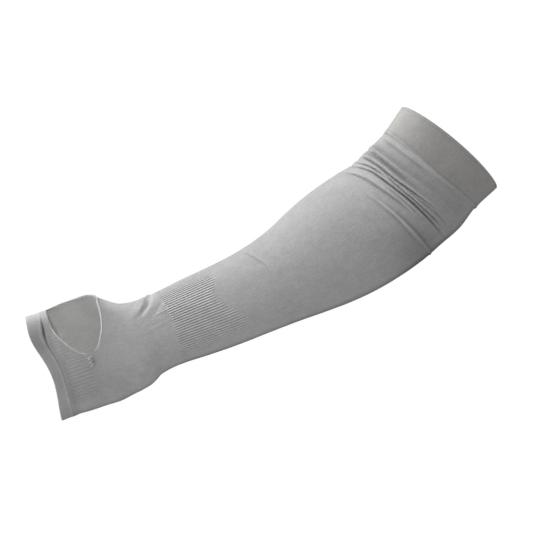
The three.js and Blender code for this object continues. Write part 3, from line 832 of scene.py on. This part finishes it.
def make_stitches(material):
    """A row of small stitches that cross the seam of the upper hem."""
    loop_angle = np.linspace(0, 360, SEAM_STEPS + 1)
    place = cloth(edge_x(UPPER_SEAM, loop_angle), loop_angle, HEM_PROUD)[0]
    run = np.append(0, np.cumsum(np.linalg.norm(np.diff(place, axis=0), axis=1)))
    count = round(run[-1] / STITCH["pitch"])
    angles = np.interp(np.arange(count) / count * run[-1], run, loop_angle)
    share = np.linspace(0, 1, STITCH_POINTS)
    off = STITCH["start"] * (1 - share) + STITCH["end"] * share
    dive = STITCH_DIVE["depth"] * np.abs(2 * share - 1) ** STITCH_DIVE["power"]
    slant = STITCH["slant"] * (2 * share - 1)
    sunk = STITCH_SUNK["depth"] * smooth(*STITCH_SUNK["angles"], from_thumb_side(angles))
    paths = []
    for angle, low in zip(angles, sunk):
        depth = STITCH["lift"] + upper_edge_rise(off, angle) - dive - low
        paths.append(cloth(edge_x(UPPER_SEAM, angle) + off, angle + slant, depth)[0])
    return make_threads("upper_hem_stitches", paths, STITCH["radius"], material)


def node_tree(owner):
    """The emptied node tree of a material or world."""
    owner.use_nodes = True
    owner.node_tree.nodes.clear()
    return owner.node_tree


def add(tree, kind, settings=None, **inputs):
    """A node with its settings, and its inputs set or linked by name, or by number as _0 and _1."""
    node = tree.nodes.new(kind)
    for key, value in (settings or {}).items():
        setattr(node, key, value)
    for key, value in inputs.items():
        socket = node.inputs[int(key[1:]) if key[1:].isdigit() else key.replace("_", " ")]
        if isinstance(value, bpy.types.NodeSocket):
            tree.links.new(value, socket)
        else:
            socket.default_value = value
    return node


def math_node(tree, operation, a, b=0.0):
    return add(tree, "ShaderNodeMath", {"operation": operation}, _0=a, _1=b).outputs[0]


def plus(tree, total, part, share):
    """A total with a share of another part added to it."""
    return math_node(tree, "ADD", total, math_node(tree, "MULTIPLY", part, share))


def noise(tree, place, **inputs):
    return add(tree, "ShaderNodeTexNoise", Vector=place, **inputs).outputs[0]


def scaled(tree, colour, shade):
    """A colour made darker or paler by a shade."""
    return add(tree, "ShaderNodeVectorMath", {"operation": "SCALE"}, _0=colour, Scale=shade).outputs[0]


def map_range(tree, value, source, target):
    """A value brought from one range into another."""
    ends = {"From_Min": source[0], "From_Max": source[1], "To_Min": target[0], "To_Max": target[1]}
    return add(tree, "ShaderNodeMapRange", Value=value, **ends).outputs[0]


def knit_height(tree, turn, along):
    """Height of a plain knit: in each wale, pairs of legs that lean to a point, course after course."""
    across = math_node(tree, "FRACT", math_node(tree, "MULTIPLY", turn, WALES))
    off = math_node(tree, "ABSOLUTE", math_node(tree, "SUBTRACT", across, 0.5))
    phase = plus(tree, math_node(tree, "DIVIDE", along, COURSE * MM), off, LEG_LEAN)
    leg = math_node(tree, "COSINE", math_node(tree, "MULTIPLY", phase, 2 * math.pi))
    body = math_node(tree, "SINE", math_node(tree, "MULTIPLY", off, 2 * math.pi))
    return plus(tree, body, leg, LEG_HEIGHT)


def knit_material(name, colour, mottle, bump):
    """Fine knitted yarn: mottled, streaked along the wales, and in the tone of its place, which holds
    painted light and shade.
    """
    material = bpy.data.materials.new(name)
    tree = node_tree(material)
    knit = add(tree, "ShaderNodeUVMap", {"uv_map": "knit"}).outputs[0]
    split = add(tree, "ShaderNodeSeparateXYZ", Vector=knit)
    height = knit_height(tree, split.outputs["X"], split.outputs["Y"])
    place = add(tree, "ShaderNodeTexCoord").outputs["Object"]
    cloud = noise(tree, place, Scale=130.0, Detail=3.0, Roughness=0.6)
    fibre = noise(tree, place, Scale=800.0, Detail=2.0, Roughness=0.7)
    wale = add(tree, "ShaderNodeVectorMath", {"operation": "MULTIPLY"}, _0=knit, _1=STREAKS)
    streak = noise(tree, wale.outputs[0], Scale=1.0, Detail=1.0)
    tone = plus(tree, fibre, cloud, KNIT_MIX["cloud"])
    tone = plus(tree, tone, streak, KNIT_MIX["streak"])
    tone = plus(tree, tone, height, KNIT_MIX["height"])
    shade = map_range(tree, tone, (0.4, 1.5), (1 - mottle, 1 + mottle))
    # The tone of each place carries painted light and shade.
    tone_and_painted_light = add(tree, "ShaderNodeAttribute", {"attribute_name": "tone"}).outputs["Fac"]
    shade = math_node(tree, "MULTIPLY", shade, tone_and_painted_light)
    relief = plus(tree, height, fibre, 0.6)
    bumped = add(tree, "ShaderNodeBump", Height=relief, Strength=bump, Distance=KNIT_RELIEF)
    shader = add(
        tree, "ShaderNodeBsdfPrincipled",
        Base_Color=scaled(tree, colour, shade),
        Roughness=map_range(tree, cloud, (0.0, 1.0), (0.78, 0.96)),
        Normal=bumped.outputs[0],
        Specular_IOR_Level=0.15,
    )
    add(tree, "ShaderNodeOutputMaterial", Surface=shader.outputs[0])
    return material


def thread_material(name, colour):
    """Spun thread: twisted ply relief and slight changes of tone."""
    material = bpy.data.materials.new(name)
    tree = node_tree(material)
    place = add(tree, "ShaderNodeTexCoord").outputs["Object"]
    twist = {"bands_direction": "DIAGONAL"}
    ply = add(tree, "ShaderNodeTexWave", twist, Vector=place, Scale=900.0, Distortion=2.0).outputs[1]
    tone = plus(tree, noise(tree, place, Scale=500.0, Detail=3.0), ply, 0.3)
    shade = map_range(tree, tone, (0.3, 1.0), (0.88, 1.1))
    bumped = add(tree, "ShaderNodeBump", Height=ply, Strength=0.35, Distance=PLY_RELIEF)
    shader = add(
        tree, "ShaderNodeBsdfPrincipled",
        Base_Color=scaled(tree, colour, shade),
        Normal=bumped.outputs[0],
        Roughness=0.6,
        Sheen_Weight=0.2,
        Specular_IOR_Level=0.3,
    )
    add(tree, "ShaderNodeOutputMaterial", Surface=shader.outputs[0])
    return material


def make_backdrop():
    """A white floor with a white dome over it, which only the camera sees."""
    bpy.ops.mesh.primitive_uv_sphere_add(segments=64, ring_count=32, radius=BACKDROP_RADIUS)
    backdrop = bpy.context.object
    backdrop.name = "floor"
    for vertex in backdrop.data.vertices:
        vertex.co.z = max(vertex.co.z, FLOOR_Z * MM)
    paint = bpy.data.materials.new("white_floor")
    tree = node_tree(paint)
    shader = add(tree, "ShaderNodeEmission", Color=WHITE, Strength=1.0)
    add(tree, "ShaderNodeOutputMaterial", Surface=shader.outputs[0])
    backdrop.data.materials.append(paint)
    backdrop.visible_diffuse = False
    backdrop.visible_glossy = False
    backdrop.visible_transmission = False
    backdrop.visible_shadow = False


def make_studio():
    """Even light from all round, and two soft lights."""
    make_backdrop()
    world = bpy.data.worlds.new("studio")
    bpy.context.scene.world = world
    tree = node_tree(world)
    back = add(tree, "ShaderNodeBackground", Color=WHITE, Strength=SKY)
    add(tree, "ShaderNodeOutputWorld", Surface=back.outputs[0])
    for row in SOFTBOXES:
        box = dict(zip(SOFTBOX_COLUMNS, row))
        lamp = bpy.data.lights.new(box["name"], "AREA")
        lamp.energy = box["watts"]
        lamp.size = box["size"]
        light = bpy.data.objects.new(box["name"], lamp)
        light.location = Vector(box["place"]) * MM
        aim = Vector(SOFTBOX_AIM) * MM - light.location
        light.rotation_euler = aim.to_track_quat("-Z", "Y").to_euler()
        bpy.context.scene.collection.objects.link(light)
    bpy.context.scene.view_settings.view_transform = "Standard"


def make_camera():
    """A camera in front of the sleeve, rolled to one side."""
    camera = bpy.data.cameras.new("camera")
    distance = -CAMERA_AT[1]
    camera.sensor_width = SENSOR
    camera.lens = SENSOR * distance / PICTURE_WIDTH
    eye = bpy.data.objects.new("camera", camera)
    roll = math.radians(CAMERA_ROLL)
    right = Vector((math.cos(roll), 0, -math.sin(roll)))
    up = Vector((math.sin(roll), 0, math.cos(roll)))
    turn = Matrix((right, up, right.cross(up))).transposed()
    eye.matrix_world = Matrix.Translation(Vector(CAMERA_AT) * MM) @ turn.to_4x4()
    bpy.context.scene.collection.objects.link(eye)
    bpy.context.scene.camera = eye


make_camera()
make_studio()

cloth_outside = knit_material("grey_knit", (0.275, 0.275, 0.276), mottle=0.3, bump=0.35)
# The inside is painted paler than the outside: painted light where the inside lies in shade.
cloth_inside_painted_light = knit_material("grey_knit_inside_painted_light", (0.53, 0.53, 0.525), mottle=0.2, bump=0.35)
hem_inside = knit_material("hem_knit_inside", (0.3, 0.3, 0.296), mottle=0.2, bump=0.35)
hem_outside = knit_material("hem_knit", (0.214, 0.211, 0.205), mottle=0.25, bump=0.3)
hand_hem_outside = knit_material("hand_hem_knit", (0.208, 0.208, 0.206), mottle=0.25, bump=0.3)
pale_thread = thread_material("pale_thread", (0.36, 0.345, 0.328))
grey_thread = thread_material("grey_thread", (0.28, 0.276, 0.27))

hand_hem = make_hem(
    "hand_hem_cloth", HAND_SEAM, HAND_RIM, HAND_WELT, HAND_HEM_PAINTED_LIGHT,
    [hand_hem_outside, hem_inside], "hand_hem",
)
hand = make_hand([cloth_outside, cloth_inside_painted_light])
edging = make_edging(pale_thread)
tack = make_tack(pale_thread)
arm = make_arm([cloth_outside, cloth_inside_painted_light])
upper_hem = make_hem(
    "upper_hem_cloth", UPPER_SEAM, UPPER_RIM, UPPER_WELT, UPPER_HEM_PAINTED_LIGHT,
    [hem_outside, hem_inside], "upper_hem",
)
upper_stitches = make_stitches(grey_thread)
